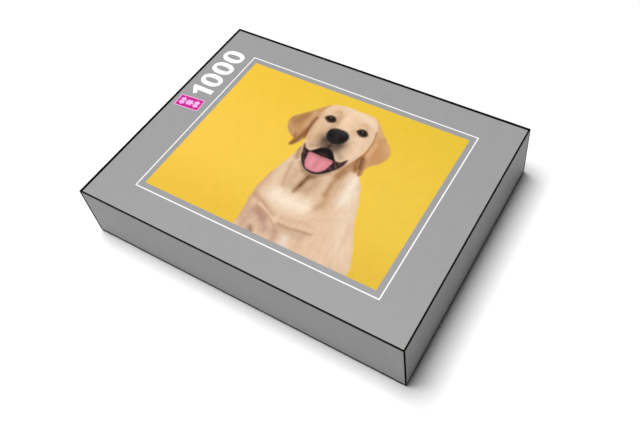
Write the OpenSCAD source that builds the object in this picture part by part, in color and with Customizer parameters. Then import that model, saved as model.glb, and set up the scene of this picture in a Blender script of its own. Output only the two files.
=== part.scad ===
// Boxed jigsaw puzzle: a telescoping set-up box of paper-wrapped greyboard, with forty sealed
// sachets of puzzle pieces and a folded picture sheet inside.
// The origin is the centre of the underside. +X is along the long side, +Y is to the back, +Z is up.

/* [Box] */
// Outer width of the lid, along X
box_w = 320; // [280:1:400]
// Outer depth of the lid, along Y
box_d = 240; // [220:1:300]
// Height of the closed box
box_h = 60; // [50:1:90]
// Thickness of the greyboard in the lid and the base
board_t = 1.8; // [1.2:0.1:2.5]
// Thickness of the wrapping paper
wrap_t = 0.2; // [0.1:0.05:0.3]
// Gap all round between the base and the inside of the lid
skirt_gap = 0.8; // [0.4:0.1:2]
// Height of the lid's lower edge above the table
lid_foot = 1.5; // [0.5:0.5:10]
// Depth of the paper that is turned in over each rim
turn_in = 16; // [8:1:25]

/* [Corner stays] */
// Length of a stay along each of the two walls that it joins
stay_reach = 24; // [15:1:40]
// Thickness of the stay tape
stay_t = 0.2; // [0.1:0.05:0.4]
// Width of the cut between two walls of the folded blank
corner_cut = 0.2; // [0.1:0.05:0.4]

/* [Sachets] */
// Share of the inside height that the sachets fill
fill = 0.75; // [0.5:0.05:0.8]
// Free width between one sachet and the next
sachet_play = 4.5; // [4:0.5:8]
// Width of the crimped seal at each end of a sachet
seal_w = 7; // [4:1:10]
// Thickness of a crimped seal
seal_t = 0.6; // [0.4:0.1:1]

/* [Picture sheet] */
// Width of the folded sheet, along X
sheet_w = 210; // [150:1:210]
// Depth of the folded sheet, along Y
sheet_d = 148; // [105:1:148]
// Thickness of one leaf
leaf_t = 0.25; // [0.15:0.05:0.5]
// Gap between the two leaves at the open edge
leaf_gap = 1.2; // [0.6:0.1:2]
// Turn of the sheet as it lies on the sachets, in degrees
sheet_turn = -7; // [-7:1:7]

/* [Hidden] */
lid_h = box_h - lid_foot;
wall_t = board_t + 2 * wrap_t;
base_w = box_w - 2 * (wall_t + skirt_gap);
base_d = box_d - 2 * (wall_t + skirt_gap);
base_h = box_h - board_t - wrap_t;

floor_z = wrap_t + board_t;
inner_w = base_w - 2 * wall_t;
inner_d = base_d - 2 * wall_t;
inner_h = base_h - floor_z;
// Extra depth of a cut that runs out of the part
over = 1;
// The four corners, as signs of X and Y, anticlockwise from the front left
corners = [[-1, -1], [1, -1], [1, 1], [-1, 1]];

// The picture is sorted into blocks, one to a sachet: columns a to h, rows 1 to 5
block_columns = 8;
block_rows = 5;
blocks = block_columns * block_rows;
sachets_across = 5;
sachets_deep = 2;
in_layer = sachets_across * sachets_deep;
layers = blocks / in_layer;
// The sachets are packed in a mixed order: block number times this stride, modulo their count
packing_stride = 7;

cell_w = inner_w / sachets_across;
cell_d = inner_d / sachets_deep;
stack_pitch = inner_h * fill / layers;
sachet_w = cell_w - sachet_play;
sachet_l = cell_d - sachet_play;
sachet_clear = 0.2;
sachet_h = stack_pitch - sachet_clear;
pillow_ramp = sachet_l / 5;
pillow_steps = 5;
// How far each sachet lies askew, in millimetres and in degrees
askew = 0.7;
askew_turn = 0.7;
askew_strides = [97, 131, 211];

// The sheet lies off centre, by these shares of the free space along X and Y
sheet_shift = [0.67, -0.84];
sheet_span_w = sheet_w * cos(sheet_turn) + sheet_d * abs(sin(sheet_turn));
sheet_span_d = sheet_d * cos(sheet_turn) + sheet_w * abs(sin(sheet_turn));
sheet_x = sheet_shift[0] * (inner_w - sheet_span_w) / 2;
sheet_y = sheet_shift[1] * (inner_d - sheet_span_d) / 2;
sheet_z = floor_z + layers * stack_pitch + sachet_clear;

function sachet_name(i) = str("sachet_", chr(97 + floor(i / block_rows)), 1 + i % block_rows);
function stay_name(part, i) = str(part, "_corner_stay_", i + 1);

// A box centred on the Z axis, from height z0 to height z1
module slab(w, d, z0, z1) {
    translate([-w / 2, -d / 2, z0]) cube([w, d, z1 - z0]);
}

// The tape round one corner of a board tray, flush with its outer faces
module stay_shape(w, d, h, corner) {
    x = corner[0] * (w - stay_reach) / 2;
    y = corner[1] * (d - stay_reach) / 2;
    difference() {
        translate([x, y, 0]) slab(stay_reach, stay_reach, 0, h);
        slab(w - 2 * stay_t, d - 2 * stay_t, -over, h + over);
    }
}

// One scored and folded blank: a floor and four walls, with a cut in each corner and room for the stays
module board_tray(w, d, h) {
    cut_x = (w - board_t) / 2;
    cut_y = d / 2 - board_t - corner_cut / 2;
    difference() {
        slab(w, d, 0, h);
        slab(w - 2 * board_t, d - 2 * board_t, board_t, h + over);
        for (corner = corners) {
            stay_shape(w, d, h + over, corner);
            translate([corner[0] * cut_x, corner[1] * cut_y, 0])
                slab(board_t + over, corner_cut, board_t, h + over);
        }
    }
}

// The paper round a board tray: floor, walls, rim and the strip that is turned in
module paper_wrap(w, d, h) {
    paper_in = 2 * wrap_t;
    board_in = 2 * (wrap_t + board_t);
    wall_in = 2 * wall_t;
    difference() {
        slab(w, d, 0, h);
        slab(w - paper_in, d - paper_in, wrap_t, h - wrap_t);
        slab(w - wall_in, d - wall_in, h - wrap_t - over, h + over);
    }
    difference() {
        slab(w - board_in, d - board_in, h - turn_in, h);
        slab(w - wall_in, d - wall_in, h - turn_in - over, h + over);
    }
}

module board_in_wrap(w, d, h) {
    translate([0, 0, wrap_t]) board_tray(w - 2 * wrap_t, d - 2 * wrap_t, h - 2 * wrap_t);
}

module stay_in_wrap(w, d, h, corner) {
    translate([0, 0, wrap_t]) stay_shape(w - 2 * wrap_t, d - 2 * wrap_t, h - 2 * wrap_t, corner);
}

// The lid is a tray of its own size, upside down over the base
module as_lid() {
    translate([0, 0, box_h]) rotate([180, 0, 0]) children();
}

module base_board() {
    color("tan") board_in_wrap(base_w, base_d, base_h);
}

module base_wrap() {
    color("whitesmoke") paper_wrap(base_w, base_d, base_h);
}

module base_corner_stay(i) {
    color("burlywood") stay_in_wrap(base_w, base_d, base_h, corners[i]);
}

module lid_board() {
    color("tan") as_lid() board_in_wrap(box_w, box_d, lid_h);
}

module lid_wrap() {
    color("darkgray") as_lid() paper_wrap(box_w, box_d, lid_h);
}

module lid_corner_stay(i) {
    color("burlywood") as_lid() stay_in_wrap(box_w, box_d, lid_h, corners[i]);
}

// Half the thickness of a sachet, from its seal (s = 0) to its full pillow (s = 1)
function pillow_half(s) = (seal_t + (sachet_h - seal_t) * sin(90 * s)) / 2;

function reversed(points) = [for (k = [len(points) - 1 : -1 : 0]) points[k]];

seal_end = [[-sachet_l / 2, seal_t / 2]];
ramp = [
    for (k = [0 : pillow_steps])
        [-sachet_l / 2 + seal_w + pillow_ramp * k / pillow_steps, pillow_half(k / pillow_steps)]
];
left_half = concat(seal_end, ramp);
top_line = concat(left_half, [for (p = reversed(left_half)) [-p[0], p[1]]]);
pillow_profile = concat(top_line, [for (p = reversed(top_line)) [p[0], -p[1]]]);

// One sealed sachet with its pieces, as a closed pillow along Y
module sachet(i) {
    place = (i * packing_stride) % blocks;
    column = place % sachets_across;
    row = floor((place % in_layer) / sachets_across);
    layer = floor(place / in_layer);
    centre = [
        (column + 0.5) * cell_w - inner_w / 2 + askew * sin(askew_strides[0] * i),
        (row + 0.5) * cell_d - inner_d / 2 + askew * cos(askew_strides[1] * i),
        (layer + 0.5) * stack_pitch + floor_z
    ];
    color("gold") translate(centre) rotate([0, 0, askew_turn * sin(askew_strides[2] * i)])
        rotate([90, 0, 90]) linear_extrude(height = sachet_w, center = true) polygon(pillow_profile);
}

// A sheet folded once, with the fold along its left edge and the upper leaf slightly open
module picture_sheet() {
    color("white") translate([sheet_x, sheet_y, sheet_z]) rotate([0, 0, sheet_turn])
        translate([-sheet_w / 2, 0, 0]) rotate([90, 0, 0])
            linear_extrude(height = sheet_d, center = true) polygon([
                [0, 0],
                [sheet_w, 0],
                [sheet_w, leaf_t],
                [2 * leaf_t, leaf_t],
                [sheet_w, leaf_t + leaf_gap],
                [sheet_w, 2 * leaf_t + leaf_gap],
                [0, 2 * leaf_t]
            ]);
}

base_board();
base_wrap();
lid_board();
lid_wrap();
picture_sheet();
for (i = [0 : len(corners) - 1]) {
    base_corner_stay(i);
    lid_corner_stay(i);
}
for (i = [0 : blocks - 1]) {
    sachet(i);
}
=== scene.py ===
"""Looks of the boxed jigsaw puzzle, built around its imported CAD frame.

Sizes are in millimetres in the code and become metres in the meshes. X runs along the box's long side,
Y to the back and Z up, from the centre of its underside.
"""

import bmesh
import bpy
import numpy as np
from mathutils import Matrix, Vector
from mathutils.geometry import delaunay_2d_cdt


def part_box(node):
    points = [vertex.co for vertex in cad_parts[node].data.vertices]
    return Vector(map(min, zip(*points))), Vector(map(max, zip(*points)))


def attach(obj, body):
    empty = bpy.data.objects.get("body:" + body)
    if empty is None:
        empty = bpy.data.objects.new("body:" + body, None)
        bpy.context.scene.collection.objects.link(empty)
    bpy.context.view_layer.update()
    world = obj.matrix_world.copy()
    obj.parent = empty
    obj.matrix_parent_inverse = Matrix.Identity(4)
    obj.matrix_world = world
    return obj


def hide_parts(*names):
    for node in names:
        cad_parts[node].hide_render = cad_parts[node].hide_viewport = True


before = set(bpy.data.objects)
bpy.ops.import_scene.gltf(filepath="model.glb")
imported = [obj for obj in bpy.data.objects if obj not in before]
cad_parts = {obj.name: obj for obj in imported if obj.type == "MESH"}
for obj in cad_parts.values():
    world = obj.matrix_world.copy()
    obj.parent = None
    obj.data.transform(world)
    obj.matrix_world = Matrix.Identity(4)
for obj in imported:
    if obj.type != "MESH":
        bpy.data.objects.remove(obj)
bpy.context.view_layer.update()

MM = 0.001

# The box, as in the CAD model
BOX_W, BOX_D, BOX_H = 320, 240, 60
LID_FOOT = 1.5
BASE_W, BASE_D, BASE_H = 314, 234, 58
PAPER_T = 0.2
WALL_T = 2.2
TURN_IN = 16
FOLD_R = 0.6
GUARD = 2
RIM_R = 0.7
RIM_CUT = 0.2

# What is printed on the lid
INK_T = 0.03
PRINT_DEPTH = 0.89
FOLD_LINE_W = 1.85
TOP_LINE_W = 2.3
SIDE_LINE_W = 0.5
PRINT_SHIFT = 0.8
RIM_LINE_W = 2.3
PICTURE_W, PICTURE_D = 230.8, 169.2
PICTURE_AT = (2.3, -1)
PICTURE_MARGIN = 6.3
KEYLINE_W = 1.1
NUMERAL_H = 23.2
NUMERAL_BASELINE = -127
NUMERAL_START = 21.2
NUMERAL_GAP = 2.3
LABEL_W, LABEL_D = 26.5, 14.4
LABEL_BORDER = 0.7
LABEL_AT = (-139.4, 9.8)
LABEL_TURN = 4.5
LABEL_R, LABEL_INNER_R = 1.2, 0.8
LABEL_ICON, LABEL_PITCH = 0.34, 22
LABEL_SEED = 3

# The puzzle: 40 by 25 pieces, sorted into blocks of 5 by 5
COLUMNS, ROWS = 40, 25
BLOCK = 5
PUZZLE_W, PUZZLE_D = 640, 480
PIECE_T = 1.9
PUZZLE_SEED = 21

# Colours as printed, in sRGB from 0 to 255, and how glossy the printed paper is
PAPER_GLOSS = 0.25
PICTURE_GLOSS = 0.12
GREY_INK = (152, 152, 152)
# The lid's short ends get a darker grey than its top and long sides: painted shade.
END_SHADE_INK = (134, 134, 134)
DARK_INK = (14, 14, 14)
WHITE_INK = (246, 246, 246)
PINK_INK = (196, 20, 138)
PALE_PINK_INK = (250, 182, 236)
GREYBOARD = (148, 142, 132)
SPECK = (70, 66, 60)
PIECE_BACK = (142, 150, 156)
BASE_PAPER = (232, 231, 226)
KRAFT = (176, 138, 96)
SHEET_PAPER = (242, 241, 236)
FILM = (238, 242, 246)
FLOOR = (249, 249, 249)


def linear(colour):
    """sRGB from 0 to 255 as linear light from 0 to 1."""
    c = np.asarray(colour, float) / 255
    return np.where(c <= 0.04045, c / 12.92, ((c + 0.055) / 1.055) ** 2.4)


def rgba(colour):
    return (*linear(colour), 1.0)


# The painting: its size in its own units, and how finely it is cut
PICTURE_SIZE = (12.0, 9.0)
CELLS = (352, 264)
PAINTING_SEED = 11


def curve(points, closed=True, steps=8):
    """A smooth line through the points, as many short straight ones."""
    p = np.array(points, float)
    if closed:
        before, after, beyond = np.roll(p, 1, 0), np.roll(p, -1, 0), np.roll(p, -2, 0)
    else:
        before = np.vstack([p[:1], p[:-2]])
        after = p[1:]
        beyond = np.vstack([p[2:], p[-1:]])
        p = p[:-1]
    t = np.linspace(0, 1, steps, endpoint=False)[None, :, None]
    a, b, c, d = (q[:, None, :] for q in (before, p, after, beyond))
    line = 0.5 * (2 * b + (c - a) * t + (2 * a - 5 * b + 4 * c - d) * t**2 + (3 * b - a - 3 * c + d) * t**3)
    line = line.reshape(-1, 2)
    return np.vstack([line, line[:1] if closed else np.array(points[-1:], float)])


class Painting:
    """A picture painted with soft brushes, on a grid of its own units: x to the right, y down."""

    def __init__(self, size, cells, seed):
        self.size = size
        self.cells = cells
        self.rng = np.random.default_rng(seed)
        across = np.linspace(0, size[0], cells[0] + 1)
        down = np.linspace(0, size[1], cells[1] + 1)
        self.x, self.y = np.meshgrid(across, down)
        self.rgb = np.zeros(self.x.shape + (3,))
        self.streaks = np.zeros(self.x.shape)

    def window(self, line, margin):
        low = np.floor((line.min(0) - margin) / self.size * self.cells).astype(int)
        high = np.ceil((line.max(0) + margin) / self.size * self.cells).astype(int) + 1
        low, high = np.maximum(low, 0), np.maximum(high, 0)
        return slice(low[1], high[1]), slice(low[0], high[0])

    def distance(self, line, window, filled):
        """Distance from each grid point in the window to the line, negative inside it where it is filled."""
        x, y = self.x[window], self.y[window]
        nearest = np.full(x.shape, np.inf)
        inside = np.zeros(x.shape, bool)
        for (x0, y0), (x1, y1) in zip(line[:-1], line[1:]):
            dx, dy = x1 - x0, y1 - y0
            t = np.clip(((x - x0) * dx + (y - y0) * dy) / max(dx * dx + dy * dy, 1e-12), 0, 1)
            nearest = np.minimum(nearest, (x - x0 - t * dx) ** 2 + (y - y0 - t * dy) ** 2)
            if filled and y0 != y1:
                inside ^= ((y0 > y) != (y1 > y)) & (x < x0 + (y - y0) * dx / dy)
        return np.where(inside, -1, 1) * np.sqrt(nearest)

    def mask(self, points, width=None, soft=0.05, ragged=0.0):
        """How much of each grid point a closed shape, or an open brush line of that width, covers."""
        line = curve(points, closed=width is None)
        window = self.window(line, (width or 0) + soft + ragged)
        away = self.distance(line, window, width is None) - (width or 0) / 2
        if ragged:
            away = away + ragged * self.streaks[window]
        cover = np.zeros(self.x.shape)
        cover[window] = smooth(0.5 - away / (2 * soft))
        return cover

    def paint(self, colour, points, width=None, soft=0.05, opacity=1.0, within=None, ragged=0.0):
        cover = self.mask(points, width, soft, ragged) * opacity
        if within is not None:
            cover = cover * within
        self.rgb += cover[..., None] * (np.array(colour, float) - self.rgb)
        return cover

    def airbrush(self, strokes, within=None):
        """Paints strokes of (colour, width, softness, strength, points), perhaps only within a shape."""
        for colour, width, soft, opacity, points in strokes:
            self.paint(colour, points, width, soft, opacity, within)

    def comb(self, guides, length):
        """Noise drawn out along the lie of the coat. Each guide is (x, y, angle in degrees below +x)."""
        g = np.array(guides, float)
        reach = (self.x[..., None] - g[:, 0]) ** 2 + (self.y[..., None] - g[:, 1]) ** 2 + 0.05
        weight = 1 / reach**1.5
        angle = np.radians(g[:, 2])
        dx, dy = (weight * np.cos(angle)).sum(-1), (weight * np.sin(angle)).sum(-1)
        norm = np.hypot(dx, dy) + 1e-9
        noise = self.rng.standard_normal(self.x.shape)
        rows, columns = np.indices(self.x.shape).astype(float)
        total = noise.copy()
        for sign in (-1, 1):
            r, c = rows.copy(), columns.copy()
            for _ in range(length):
                ri = np.clip(np.rint(r).astype(int), 0, self.cells[1])
                ci = np.clip(np.rint(c).astype(int), 0, self.cells[0])
                r += sign * (dy / norm)[ri, ci]
                c += sign * (dx / norm)[ri, ci]
                total += bilinear(noise, r, c)
        self.streaks = total / total.std()

    def curls(self):
        """Soft unevenness a few hairs wide."""
        coarse = self.rng.standard_normal((self.cells[1] // 5 + 2, self.cells[0] // 5 + 2))
        rows, columns = np.indices(self.x.shape)
        return bilinear(coarse, rows / 5, columns / 5)


def smooth(t):
    t = np.clip(t, 0, 1)
    return t * t * (3 - 2 * t)


def bilinear(grid, r, c):
    r = np.clip(r, 0, grid.shape[0] - 1.001)
    c = np.clip(c, 0, grid.shape[1] - 1.001)
    r0, c0 = r.astype(int), c.astype(int)
    fr, fc = r - r0, c - c0
    if grid.ndim == 3:
        fr, fc = fr[..., None], fc[..., None]
    top = grid[r0, c0] * (1 - fc) + grid[r0, c0 + 1] * fc
    bottom = grid[r0 + 1, c0] * (1 - fc) + grid[r0 + 1, c0 + 1] * fc
    return top * (1 - fr) + bottom * fr


# How the coat lies, as (x, y, angle in degrees below +x)
COAT = [
    (6.4, 0.8, -90), (5.5, 1.0, -120), (7.4, 1.0, -60), (5.3, 2.2, 100), (7.9, 2.2, 80), (6.4, 1.9, -90),
    (5.7, 3.2, 150), (7.1, 3.2, 30), (4.5, 1.8, 125), (4.3, 3.0, 80), (4.8, 3.6, 95), (8.7, 2.0, 50),
    (8.8, 3.0, 105), (8.5, 3.8, 90), (5.2, 5.2, 105), (6.4, 5.5, 90), (7.4, 5.5, 80), (8.6, 5.4, 70),
    (5.0, 6.8, 85), (5.8, 7.0, 70), (6.6, 7.4, 95), (7.6, 7.0, 120), (9.3, 7.0, 70), (5.4, 8.5, 90),
    (7.2, 8.4, 95), (8.6, 8.4, 80), (10.0, 8.3, 65),
]
BODY = [
    (5.25, 3.7), (5.12, 4.6), (4.95, 5.3), (4.8, 6.0), (4.72, 6.8), (4.78, 7.6), (4.9, 8.3), (4.96, 9.0),
    (5.3, 9.9), (10.3, 9.9), (10.6, 9.0), (10.45, 8.2), (10.0, 7.3), (9.65, 6.65), (9.42, 5.95),
    (9.15, 5.35), (8.95, 4.8), (8.6, 4.3), (8.3, 3.7), (8.0, 3.2), (6.6, 3.0), (5.5, 3.1),
]
HEAD = [
    (5.32, 0.78), (5.75, 0.66), (6.5, 0.68), (7.2, 0.67), (7.55, 0.76), (7.88, 1.2), (8.08, 1.7),
    (8.13, 2.3), (8.06, 2.9), (7.88, 3.4), (7.68, 3.8), (7.46, 4.25), (7.18, 4.65), (6.85, 4.97),
    (6.4, 5.08), (5.98, 4.97), (5.65, 4.6), (5.42, 4.15), (5.25, 3.7), (5.12, 3.2), (4.98, 2.6),
    (4.93, 2.0), (4.98, 1.4), (5.1, 1.0),
]
EAR_LEFT = [
    (5.15, 0.9), (4.78, 1.28), (4.42, 1.72), (4.05, 2.12), (3.82, 2.38), (3.79, 2.68), (3.92, 3.0),
    (4.18, 3.3), (4.5, 3.52), (4.62, 3.6), (4.58, 3.9), (4.68, 4.02), (4.85, 3.85), (5.06, 3.45),
    (5.1, 2.9), (5.0, 2.2), (5.08, 1.5),
]
EAR_RIGHT = [
    (7.6, 0.82), (7.95, 1.1), (8.32, 1.48), (8.7, 1.83), (9.02, 2.15), (9.17, 2.5), (9.15, 2.85),
    (8.95, 3.2), (8.66, 3.52), (8.55, 3.8), (8.57, 4.1), (8.48, 4.22), (8.3, 4.0), (8.16, 3.7),
    (8.05, 3.2), (8.05, 2.6), (8.0, 1.7),
]
NOSE = [
    (5.87, 2.5), (5.93, 2.28), (6.12, 2.15), (6.4, 2.12), (6.7, 2.15), (6.9, 2.3), (6.97, 2.52),
    (6.88, 2.8), (6.66, 3.0), (6.4, 3.06), (6.12, 2.98), (5.94, 2.76),
]
MOUTH = [
    (5.28, 3.62), (5.46, 3.82), (5.74, 3.88), (5.96, 3.68), (6.16, 3.48), (6.4, 3.4), (6.66, 3.46),
    (6.88, 3.68), (7.1, 3.9), (7.36, 3.88), (7.6, 3.62), (7.56, 4.05), (7.34, 4.45), (7.04, 4.78),
    (6.7, 4.99), (6.36, 5.02), (6.0, 4.86), (5.7, 4.56), (5.46, 4.14),
]
TONGUE = [
    (5.76, 3.97), (6.1, 3.95), (6.4, 3.98), (6.75, 3.95), (7.03, 4.0), (7.02, 4.34), (6.94, 4.62),
    (6.72, 4.86), (6.4, 4.93), (6.07, 4.86), (5.88, 4.6), (5.79, 4.28),
]
ALMOND = [
    (-0.29, 0.05), (-0.2, -0.13), (-0.02, -0.21), (0.18, -0.16), (0.29, 0.03), (0.17, 0.18), (-0.06, 0.21),
]
GUM_SPOTS = [
    (5.46, 4.02), (5.6, 4.12), (5.62, 4.34), (5.76, 4.5), (7.2, 4.06), (7.36, 3.98), (7.3, 4.2),
    (7.12, 4.4),
]
LEFT_CHEEK = [(5.6, 3.95), (5.7, 4.3)]
RIGHT_CHEEK = [(7.25, 4.0), (7.12, 4.3)]
LOWER_LIP = [(5.52, 4.25), (5.8, 4.66), (6.1, 4.92), (6.42, 4.99), (6.8, 4.91), (7.15, 4.55)]

# Soft strokes, each as (colour, width, softness, strength, points)
BREAST_STROKES = [
    ((204, 163, 124), 0.3, 0.3, 1, [(4.8, 5.8), (4.74, 7.0), (4.9, 8.6)]),
    ((240, 214, 186), 0.6, 0.5, 0.8, [(8.9, 5.4), (9.2, 6.6), (9.8, 8.2)]),
    ((228, 204, 172), 0.2, 0.3, 0.8, [(5.3, 4.6), (5.2, 5.4), (5.2, 6.0)]),
    ((202, 168, 138), 0.45, 0.4, 0.8, [(5.9, 5.2), (5.95, 5.9), (5.8, 6.4)]),
    ((182, 146, 114), 0.45, 0.4, 0.75, [(6.75, 5.1), (6.95, 5.5), (6.85, 6.0)]),
    ((222, 190, 158), 0.16, 0.2, 0.8, [(7.35, 5.2), (7.3, 6.2)]),
    ((251, 231, 208), 0.75, 0.5, 1, [(5.75, 6.75), (6.3, 6.9), (7.1, 6.85)]),
    ((206, 168, 132), 0.3, 0.4, 0.85, [(7.9, 4.0), (7.95, 5.2), (8.0, 6.4)]),
    ((247, 231, 211), 0.45, 0.35, 1, [(8.45, 4.5), (8.55, 5.1), (8.6, 5.8)]),
]
NECK_STROKES = [
    ((164, 116, 74), 0.3, 0.3, 0.9, [(7.95, 3.7), (7.75, 4.1), (7.62, 4.6)]),
    ((158, 112, 70), 0.14, 0.2, 0.8, [(7.8, 4.3), (7.68, 4.9), (7.68, 5.4), (7.72, 5.8)]),
    ((184, 142, 102), 0.14, 0.25, 0.8, [(7.72, 5.8), (7.86, 6.2), (7.75, 6.6)]),
    ((140, 98, 60), 0.16, 0.2, 0.7, [(5.05, 3.5), (5.2, 3.9), (5.4, 4.5)]),
    ((182, 142, 106), 0.06, 0.16, 0.75, [(5.4, 4.9), (5.52, 5.5), (5.7, 6.2)]),
    ((146, 106, 74), 0.24, 0.26, 0.8, [(6.55, 5.15), (6.46, 5.6), (6.4, 6.1)]),
    ((84, 50, 22), 0.06, 0.16, 0.95, [(6.52, 5.2), (6.46, 5.6), (6.43, 5.9)]),
    ((112, 76, 46), 0.03, 0.14, 0.8, [(6.43, 5.8), (6.36, 6.3)]),
    ((92, 56, 30), 0.08, 0.16, 0.7, [(6.5, 5.28), (6.72, 5.2)]),
    ((150, 112, 84), 0.12, 0.2, 0.7, [(6.1, 5.1), (6.42, 5.2), (6.8, 5.1)]),
]
BELLY_STROKES = [
    ((188, 146, 128), 0.35, 0.35, 0.9, [(5.35, 7.95), (5.8, 8.15), (6.35, 8.6)]),
    ((170, 122, 104), 0.16, 0.24, 0.8, [(5.5, 7.9), (6.0, 8.15)]),
    ((202, 160, 136), 0.5, 0.4, 0.8, [(5.2, 8.3), (5.4, 9.1)]),
    ((176, 130, 100), 0.12, 0.26, 0.8, [(4.9, 7.2), (5.6, 7.5), (6.15, 7.82)]),
    ((174, 126, 94), 0.04, 0.14, 0.85, [(5.3, 7.7), (6.1, 7.95), (6.6, 8.25), (6.8, 8.5)]),
    ((240, 212, 184), 0.05, 0.12, 0.9, [(5.4, 7.55), (6.1, 7.85), (6.6, 8.15)]),
    ((202, 166, 140), 0.3, 0.3, 0.85, [(6.8, 8.3), (7.4, 8.25), (8.0, 8.2)]),
    ((168, 124, 92), 0.05, 0.15, 0.85, [(6.7, 8.1), (7.15, 8.12), (7.7, 8.02), (8.25, 7.95)]),
    ((208, 170, 138), 0.1, 0.22, 0.8, [(6.7, 7.75), (7.2, 7.68), (7.9, 7.55)]),
    ((186, 148, 124), 0.3, 0.3, 0.8, [(6.85, 8.6), (7.0, 9.0)]),
    ((232, 214, 202), 0.25, 0.3, 1, [(7.35, 8.6), (7.45, 9.0)]),
    ((120, 84, 74), 0.14, 0.2, 0.8, [(5.72, 8.8), (5.85, 8.95)]),
    ((206, 170, 146), 0.1, 0.28, 0.75, [(7.95, 8.4), (8.1, 9.2)]),
    ((212, 178, 146), 0.06, 0.25, 0.6, [(9.5, 6.7), (9.72, 7.8), (9.7, 9.1)]),
]
LEFT_EAR_STROKES = [
    ((206, 160, 104), 0.16, 0.25, 1, [(5.1, 0.95), (4.6, 1.6), (4.0, 2.25)]),
    ((164, 114, 64), 0.4, 0.35, 0.85, [(4.4, 1.95), (4.2, 2.5)]),
    ((198, 152, 108), 0.2, 0.25, 1, [(4.0, 3.0), (4.5, 3.4)]),
    ((190, 146, 104), 0.1, 0.2, 0.8, [(4.9, 1.7), (4.82, 2.4)]),
    ((118, 74, 36), 0.14, 0.2, 1, [(4.98, 2.1), (4.92, 3.0), (4.72, 3.95)]),
    ((222, 176, 140), 0.12, 0.2, 0.8, [(4.72, 1.7), (4.66, 2.2), (4.72, 2.6)]),
    ((148, 96, 48), 0.08, 0.14, 0.8, [(4.55, 3.3), (4.66, 3.6), (4.66, 3.95)]),
]
RIGHT_EAR_STROKES = [
    ((224, 180, 132), 0.2, 0.3, 1, [(7.8, 1.0), (8.4, 1.75), (8.9, 2.3)]),
    ((194, 142, 92), 0.3, 0.35, 0.8, [(8.45, 1.9), (8.62, 2.6), (8.6, 3.1)]),
    ((196, 144, 94), 0.2, 0.3, 0.8, [(8.75, 2.6), (8.85, 3.1)]),
    ((146, 100, 64), 0.16, 0.22, 1, [(8.2, 3.2), (8.35, 3.7), (8.47, 4.2)]),
    ((226, 182, 148), 0.12, 0.18, 0.8, [(8.3, 2.2), (8.26, 2.7), (8.32, 3.1)]),
]
FOREHEAD_STROKES = [
    ((252, 225, 195), 0.2, 0.4, 1, [(6.1, 0.82), (6.9, 0.85), (7.5, 1.1)]),
    ((246, 210, 176), 0.4, 0.4, 1, [(6.4, 1.0), (6.4, 1.75)]),
    ((238, 200, 162), 0.2, 0.25, 0.8, [(5.4, 0.95), (5.3, 1.4)]),
    ((206, 160, 116), 0.12, 0.24, 0.95, [(5.62, 1.2), (5.85, 1.18), (5.98, 1.4)]),
    ((216, 172, 130), 0.1, 0.22, 0.9, [(7.0, 1.42), (7.2, 1.34), (7.5, 1.45)]),
    ((206, 162, 122), 0.12, 0.3, 1, [(5.0, 1.6), (5.06, 2.5), (5.22, 3.3)]),
]
EAR_EDGE_STROKES = [
    ((150, 96, 52), 0.04, 0.08, 0.9, [(7.98, 1.5), (8.12, 2.2), (8.12, 3.1)]),
    ((112, 66, 30), 0.07, 0.12, 0.85, [(4.94, 1.9), (4.95, 2.6), (5.04, 3.3)]),
    ((110, 68, 38), 0.12, 0.12, 0.9, [(8.14, 3.2), (8.22, 3.5), (8.3, 3.8)]),
]
MUZZLE_STROKES = [
    ((222, 184, 146), 0.3, 0.35, 0.8, [(5.45, 2.2), (5.55, 3.0)]),
    ((240, 206, 176), 0.4, 0.35, 0.9, [(7.5, 2.3), (7.72, 3.0), (7.6, 3.4)]),
    ((204, 162, 122), 0.08, 0.2, 0.8, [(5.95, 1.75), (5.82, 2.1), (5.75, 2.35)]),
    ((212, 172, 134), 0.08, 0.2, 0.8, [(6.95, 1.85), (7.05, 2.2)]),
    ((192, 154, 120), 0.25, 0.3, 0.8, [(5.7, 2.6), (5.55, 3.1), (5.6, 3.5)]),
    ((204, 176, 148), 0.25, 0.3, 0.85, [(7.15, 2.6), (7.25, 3.2)]),
    ((186, 156, 128), 0.25, 0.22, 0.8, [(5.6, 3.6), (5.95, 3.4)]),
    ((168, 144, 122), 0.25, 0.22, 0.8, [(6.85, 3.35), (7.2, 3.62)]),
    ((112, 88, 72), 0.36, 0.3, 0.95, [(5.92, 2.9), (6.1, 3.35), (6.7, 3.35), (6.88, 2.9)]),
    ((62, 48, 42), 0.22, 0.22, 0.9, [(6.05, 3.0), (6.4, 3.25), (6.76, 3.0)]),
    ((184, 146, 114), 0.1, 0.22, 0.8, [(5.86, 1.45), (6.0, 1.8), (5.9, 2.2)]),
    ((64, 46, 40), 0.12, 0.2, 0.8, [(6.4, 3.1), (6.4, 3.45)]),
    ((232, 200, 168), 0.08, 0.12, 0.8, [(7.8, 3.4), (7.62, 3.9), (7.4, 4.3)]),
    ((208, 176, 140), 0.06, 0.12, 0.8, [(5.3, 3.9), (5.5, 4.35)]),
]
TONGUE_STROKES = [
    ((176, 104, 110), 0.06, 0.12, 0.8, [(5.85, 4.0), (6.4, 4.03), (7.0, 4.02)]),
    ((236, 160, 168), 0.14, 0.16, 0.8, [(6.1, 4.3), (6.2, 4.66)]),
    ((232, 152, 162), 0.12, 0.14, 0.8, [(6.7, 4.3), (6.62, 4.66)]),
    ((176, 108, 112), 0.02, 0.07, 0.7, [(6.41, 4.1), (6.42, 4.7)]),
]


def paint_background(p):
    across, down = p.x / p.size[0], p.y / p.size[1]
    top, middle = np.array([244, 201, 62.0]), np.array([249, 205, 73.0])
    p.rgb[:] = top + (middle - top) * smooth(down * 2)[..., None]
    p.rgb -= np.array([9, 5, 5.0]) * across[..., None]
    p.rgb -= np.array([9, 10, 11.0]) * smooth(down * 3 - 2)[..., None]


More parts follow.
